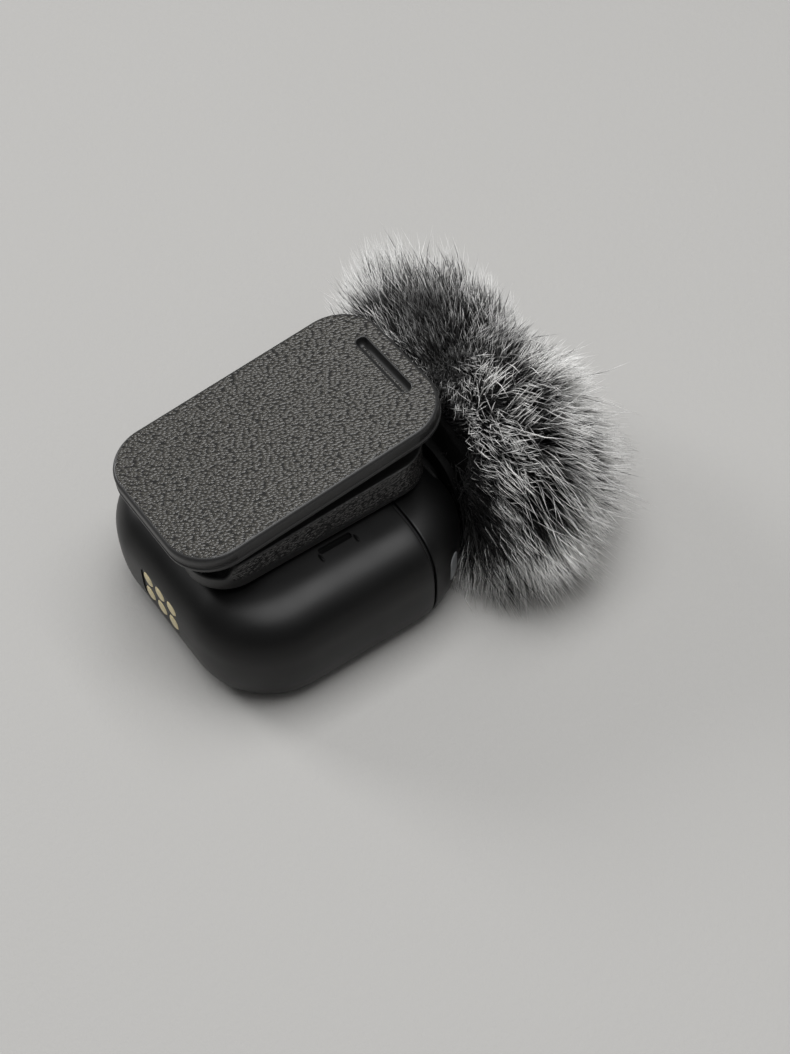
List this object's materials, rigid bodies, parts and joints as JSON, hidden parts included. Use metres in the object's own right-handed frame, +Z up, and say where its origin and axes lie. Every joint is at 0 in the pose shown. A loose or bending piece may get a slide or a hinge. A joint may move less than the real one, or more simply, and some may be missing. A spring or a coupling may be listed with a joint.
{
  "type": "clip-on lavalier microphone",
  "caption": "Rounded pocket transmitter with a microphone in its end, side buttons, a sprung magnetic two-jaw clip on its crown and a pull-off fur windscreen.",
  "frame": {"origin": "middle of the housing's flat underside, which it rests on", "axes": "+X along the housing towards the microphone end and the windscreen, +Y towards the side with the buttons, +Z up through the clip"},
  "size_m": [0.0404, 0.0346, 0.02],
  "materials": {
    "shell_plastic": "satin black moulding",
    "clip_plastic": "fine leather-grain black moulding",
    "button_plastic": "semi-gloss black",
    "black_plastic": "matt black",
    "black_rubber": "matt black",
    "gold_contact": "gold plated, polished",
    "light_window": "milky, half clear",
    "circuit_board": "green solder mask",
    "flex_film": "amber film",
    "battery_foil": "satin foil",
    "foam": "open-cell foam, dark",
    "steel": "plain steel",
    "magnet": "nickel plated",
    "white_ceramic": "matt",
    "knit_fabric": "dark knitted backing",
    "fur": "long grey synthetic fur with dark roots"
  },
  "bodies": {
    "housing": {"main_shell": "shell_plastic", "mic_cap": "shell_plastic", "seam_gasket": "black_rubber", "contact_carrier": "black_plastic", "contact_pads": "gold_contact", "main_board": "circuit_board", "board_screws": "steel", "shield_can": "steel", "radio_chip": "black_plastic", "antenna": "white_ceramic", "battery": "battery_foil", "battery_foam": "foam", "keeper_plate": "steel", "tact_switches": "steel", "light_pipe": "light_window", "light_emitter": "white_ceramic", "front_flex": "flex_film", "mic_capsule": "steel", "mic_boot": "black_rubber", "mic_mesh": "steel"},
    "power_key": {"power_button": "button_plastic"},
    "link_key": {"link_button": "button_plastic"},
    "clip": {"clip_base": "clip_plastic", "clip_magnets": "magnet", "lower_pad": "black_rubber", "hinge_pin": "steel", "torsion_spring": "steel"},
    "jaw": {"clip_plate": "clip_plastic", "upper_pad": "black_rubber"},
    "windscreen": {"windscreen_collar": "black_plastic", "windscreen_foam": "foam", "windscreen_backing": "knit_fabric", "windscreen_fur": "fur"}
  },
  "joints": [
    {"name": "clip_lift", "type": "slide", "parent": "housing", "child": "clip", "axis": [0, 0, 1], "range_m": [0, 0.01]},
    {"name": "jaw_hinge", "type": "hinge", "parent": "clip", "child": "jaw", "pos_m": [-0.0015, 0.0005, 0.0143], "axis": [0, 1, 0], "range_deg": [0, 11], "stiffness_Nm_per_rad": 0.04, "springref_deg": -28.65, "deforming": ["torsion_spring"]},
    {"name": "windscreen_pull", "type": "slide", "parent": "housing", "child": "windscreen", "axis": [1, 0, 0], "range_m": [0, 0.014]},
    {"name": "power_press", "type": "slide", "parent": "housing", "child": "power_key", "axis": [0, -1, 0], "range_m": [0, 0.00025], "stiffness_N_per_m": 1500, "springref_m": -0.0001},
    {"name": "link_press", "type": "slide", "parent": "housing", "child": "link_key", "axis": [0, -1, 0], "range_m": [0, 0.00025], "stiffness_N_per_m": 1500, "springref_m": -0.0001}
  ]
}
